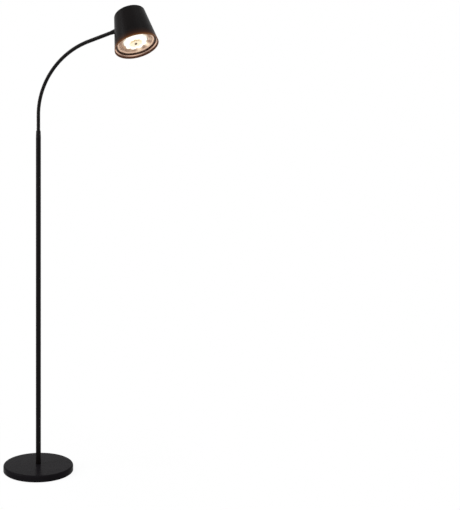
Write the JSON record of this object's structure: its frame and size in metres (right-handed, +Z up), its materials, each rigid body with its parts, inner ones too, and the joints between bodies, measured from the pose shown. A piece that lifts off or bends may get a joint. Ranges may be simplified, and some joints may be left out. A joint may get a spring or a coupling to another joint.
{
  "type": "gooseneck floor lamp",
  "caption": "Black floor lamp with a round weighted base, thin pole, ribbed gooseneck and a conical metal shade around a recessed light unit with a clear lens.",
  "frame": {"origin": "centre of the base's underside, on the pole's axis", "axes": "+Z up along the pole, +X the way the gooseneck bends over, +Y completes the right-handed frame"},
  "size_m": [0.4982, 0.22, 1.4205],
  "materials": {
    "base_paint": "matt powder coat",
    "cast_iron": "raw casting",
    "pad_rubber": "matt",
    "grommet_rubber": "matt",
    "zinc_steel": "zinc plated",
    "pole_paint": "matt powder coat",
    "brass": "machined",
    "ferrule_paint": "satin black",
    "hose_paint": "satin black",
    "sleeve_paint": "satin black",
    "spacer_plastic": "matt",
    "shade_paint": "matt black powder coat",
    "ring_metal": "satin",
    "clear_lens": "clear",
    "clear_optic": "clear moulded",
    "bright_reflector": "metallized",
    "sink_aluminium": "die cast",
    "board_white": "solder mask",
    "led_glow": "phosphor",
    "dark_screw": "black oxide",
    "driver_plastic": "moulded",
    "terminal_plastic": "moulded",
    "wire_insulation": "insulation"
  },
  "bodies": {
    "stand": {"base_cover": "base_paint", "base_nipple": "zinc_steel", "base_nut": "zinc_steel", "base_pad": "pad_rubber", "base_washer": "zinc_steel", "base_weight": "cast_iron", "cord_grommet": "grommet_rubber", "neck_ferrule": "ferrule_paint", "neck_link_0": "hose_paint", "neck_stud": "zinc_steel", "pole_couplers": "brass", "pole_foot_plug": "brass", "pole_lower": "pole_paint", "pole_middle": "pole_paint", "pole_top_plug": "brass", "pole_upper": "pole_paint", "pole_wires": "wire_insulation"},
    "neck_1": {"neck_link_1": "hose_paint"},
    "neck_2": {"neck_link_2": "hose_paint"},
    "neck_3": {"neck_link_3": "hose_paint"},
    "neck_4": {"neck_link_4": "hose_paint"},
    "neck_5": {"neck_link_5": "hose_paint"},
    "neck_6": {"neck_link_6": "hose_paint"},
    "neck_7": {"neck_link_7": "hose_paint"},
    "head": {"board_screws": "zinc_steel", "cover_lens": "clear_lens", "driver_wires": "wire_insulation", "heat_sink": "sink_aluminium", "led_board": "board_white", "led_driver": "driver_plastic", "leds": "led_glow", "lens_screw": "dark_screw", "neck_end_sleeve": "sleeve_paint", "neck_end_thread": "zinc_steel", "neck_link_8": "hose_paint", "neck_nut": "zinc_steel", "neck_washer": "zinc_steel", "neck_wires": "wire_insulation", "petal_optic": "clear_optic", "reflector": "bright_reflector", "retaining_ring": "ring_metal", "saddle_spacer": "spacer_plastic", "shade": "shade_paint", "strap_bracket": "zinc_steel", "strap_screws": "zinc_steel", "terminal_block": "terminal_plastic"}
  },
  "joints": [
    {"name": "neck_bend_1", "type": "hinge", "parent": "stand", "child": "neck_1", "pos_m": [0, 0, 1.09703], "axis": [0, 1, 0], "range_deg": [-20, 22]},
    {"name": "neck_sway_1", "type": "hinge", "parent": "neck_1", "child": "neck_2", "pos_m": [0.00184, 0, 1.14901], "axis": [-0.9917, 0, 0.1284], "range_deg": [-20, 20]},
    {"name": "neck_bend_2", "type": "hinge", "parent": "neck_2", "child": "neck_3", "pos_m": [0.01449, 0, 1.19939], "axis": [0, 1, 0], "range_deg": [-20, 22]},
    {"name": "neck_sway_2", "type": "hinge", "parent": "neck_3", "child": "neck_4", "pos_m": [0.0385, 0, 1.24545], "axis": [-0.8266, 0, 0.5628], "range_deg": [-20, 20]},
    {"name": "neck_bend_3", "type": "hinge", "parent": "neck_4", "child": "neck_5", "pos_m": [0.07256, 0, 1.28467], "axis": [0, 1, 0], "range_deg": [-20, 22]},
    {"name": "neck_sway_3", "type": "hinge", "parent": "neck_5", "child": "neck_6", "pos_m": [0.11479, 0, 1.3149], "axis": [-0.4829, 0, 0.8757], "range_deg": [-20, 20]},
    {"name": "neck_bend_4", "type": "hinge", "parent": "neck_6", "child": "neck_7", "pos_m": [0.1629, 0, 1.33449], "axis": [0, 1, 0], "range_deg": [-20, 22]},
    {"name": "neck_sway_4", "type": "hinge", "parent": "neck_7", "child": "head", "pos_m": [0.21329, 0, 1.34755], "axis": [-0.2504, 0, 0.9681], "range_deg": [-20, 20]}
  ]
}
